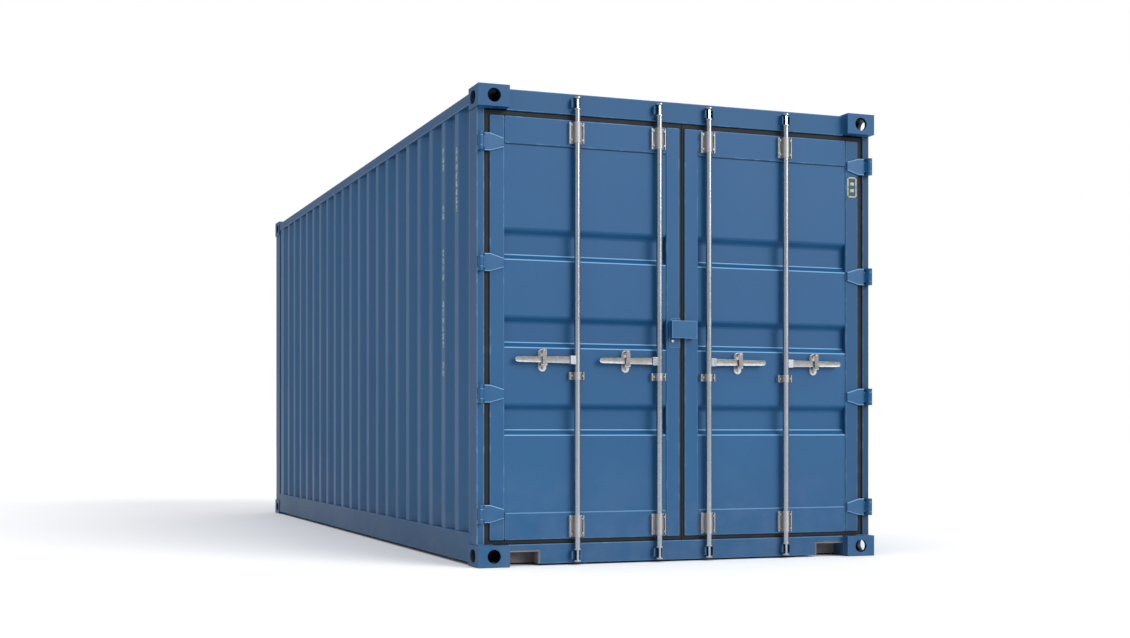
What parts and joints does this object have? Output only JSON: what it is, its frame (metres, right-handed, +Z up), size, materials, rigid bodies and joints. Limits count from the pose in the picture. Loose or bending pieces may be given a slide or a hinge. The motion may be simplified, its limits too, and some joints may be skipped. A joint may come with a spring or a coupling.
{
  "type": "shipping container",
  "caption": "Corrugated steel freight box with hinged double end doors, turning lock bars, lifting corner castings and a timber floor.",
  "frame": {"origin": "bottom centre of the container, level with the feet of the bottom corner fittings", "axes": "+X along the length towards the door end, +Y towards the right-hand door, +Z up"},
  "size_m": [6.058, 2.438, 2.591],
  "materials": {
    "blue_paint": "worn satin",
    "dark_paint": "matt",
    "galvanised_steel": "dull galvanised",
    "black_rubber": "matt",
    "floor_plywood": "worn"
  },
  "bodies": {
    "container_frame": {"top_corner_fittings": "blue_paint", "bottom_corner_fittings": "blue_paint", "rear_corner_posts": "blue_paint", "front_corner_posts": "blue_paint", "top_side_rails": "blue_paint", "bottom_side_rails": "blue_paint", "front_top_rail": "blue_paint", "front_bottom_rail": "blue_paint", "door_header": "blue_paint", "door_sill": "blue_paint", "sill_recess_linings": "blue_paint", "left_side_wall": "blue_paint", "right_side_wall": "blue_paint", "front_wall": "blue_paint", "roof_panel": "blue_paint", "roof_front_plate": "blue_paint", "plywood_floor": "floor_plywood", "floor_cross_members": "dark_paint", "top_cam_keepers": "blue_paint", "bottom_cam_keepers": "blue_paint", "hinge_lugs": "blue_paint"},
    "left_door": {"left_door_stiles": "blue_paint", "left_door_rails": "blue_paint", "left_door_panel": "blue_paint", "left_door_gasket": "black_rubber", "left_hinge_blades": "blue_paint", "left_bar_brackets": "galvanised_steel", "left_handle_retainers": "galvanised_steel", "left_lock_plate": "blue_paint"},
    "right_door": {"right_door_stiles": "blue_paint", "right_door_rails": "blue_paint", "right_door_panel": "blue_paint", "right_door_gasket": "black_rubber", "right_hinge_blades": "blue_paint", "right_bar_brackets": "galvanised_steel", "right_handle_retainers": "galvanised_steel", "right_lock_box": "blue_paint"},
    "bar_1": {"locking_bar_1": "galvanised_steel"},
    "handle_1": {"bar_handle_1": "galvanised_steel"},
    "catch_1": {"handle_catch_1": "galvanised_steel"},
    "bar_2": {"locking_bar_2": "galvanised_steel"},
    "handle_2": {"bar_handle_2": "galvanised_steel"},
    "catch_2": {"handle_catch_2": "galvanised_steel"},
    "bar_3": {"locking_bar_3": "galvanised_steel"},
    "handle_3": {"bar_handle_3": "galvanised_steel"},
    "catch_3": {"handle_catch_3": "galvanised_steel"},
    "bar_4": {"locking_bar_4": "galvanised_steel"},
    "handle_4": {"bar_handle_4": "galvanised_steel"},
    "catch_4": {"handle_catch_4": "galvanised_steel"}
  },
  "joints": [
    {"name": "left_door_hinge", "type": "hinge", "parent": "container_frame", "child": "left_door", "pos_m": [3.009, -1.199, 1.29], "axis": [0, 0, -1], "range_deg": [0, 265]},
    {"name": "right_door_hinge", "type": "hinge", "parent": "container_frame", "child": "right_door", "pos_m": [3.009, 1.199, 1.29], "axis": [0, 0, 1], "range_deg": [0, 265]},
    {"name": "bar_1_turn", "type": "hinge", "parent": "left_door", "child": "bar_1", "pos_m": [3.005, -0.644, 1.29], "axis": [0, 0, -1], "range_deg": [-110, 0]},
    {"name": "handle_1_lift", "type": "hinge", "parent": "bar_1", "child": "handle_1", "pos_m": [3.005, -0.677, 1.121], "axis": [1, 0, 0], "range_deg": [-5, 0]},
    {"name": "catch_1_swing", "type": "hinge", "parent": "left_door", "child": "catch_1", "pos_m": [3.0185, -0.839, 1.171], "axis": [-1, 0, 0], "range_deg": [-90, 0]},
    {"name": "bar_2_turn", "type": "hinge", "parent": "left_door", "child": "bar_2", "pos_m": [3.005, -0.153, 1.29], "axis": [0, 0, -1], "range_deg": [-110, 0]},
    {"name": "handle_2_lift", "type": "hinge", "parent": "bar_2", "child": "handle_2", "pos_m": [3.005, -0.186, 1.121], "axis": [1, 0, 0], "range_deg": [-5, 0]},
    {"name": "catch_2_swing", "type": "hinge", "parent": "left_door", "child": "catch_2", "pos_m": [3.0185, -0.348, 1.171], "axis": [-1, 0, 0], "range_deg": [-90, 0]},
    {"name": "bar_3_turn", "type": "hinge", "parent": "right_door", "child": "bar_3", "pos_m": [3.005, 0.153, 1.29], "axis": [0, 0, 1], "range_deg": [-110, 0]},
    {"name": "handle_3_lift", "type": "hinge", "parent": "bar_3", "child": "handle_3", "pos_m": [3.005, 0.186, 1.121], "axis": [-1, 0, 0], "range_deg": [-5, 0]},
    {"name": "catch_3_swing", "type": "hinge", "parent": "right_door", "child": "catch_3", "pos_m": [3.0185, 0.348, 1.171], "axis": [1, 0, 0], "range_deg": [-90, 0]},
    {"name": "bar_4_turn", "type": "hinge", "parent": "right_door", "child": "bar_4", "pos_m": [3.005, 0.644, 1.29], "axis": [0, 0, 1], "range_deg": [-110, 0]},
    {"name": "handle_4_lift", "type": "hinge", "parent": "bar_4", "child": "handle_4", "pos_m": [3.005, 0.677, 1.121], "axis": [-1, 0, 0], "range_deg": [-5, 0]},
    {"name": "catch_4_swing", "type": "hinge", "parent": "right_door", "child": "catch_4", "pos_m": [3.0185, 0.839, 1.171], "axis": [1, 0, 0], "range_deg": [-90, 0]}
  ]
}
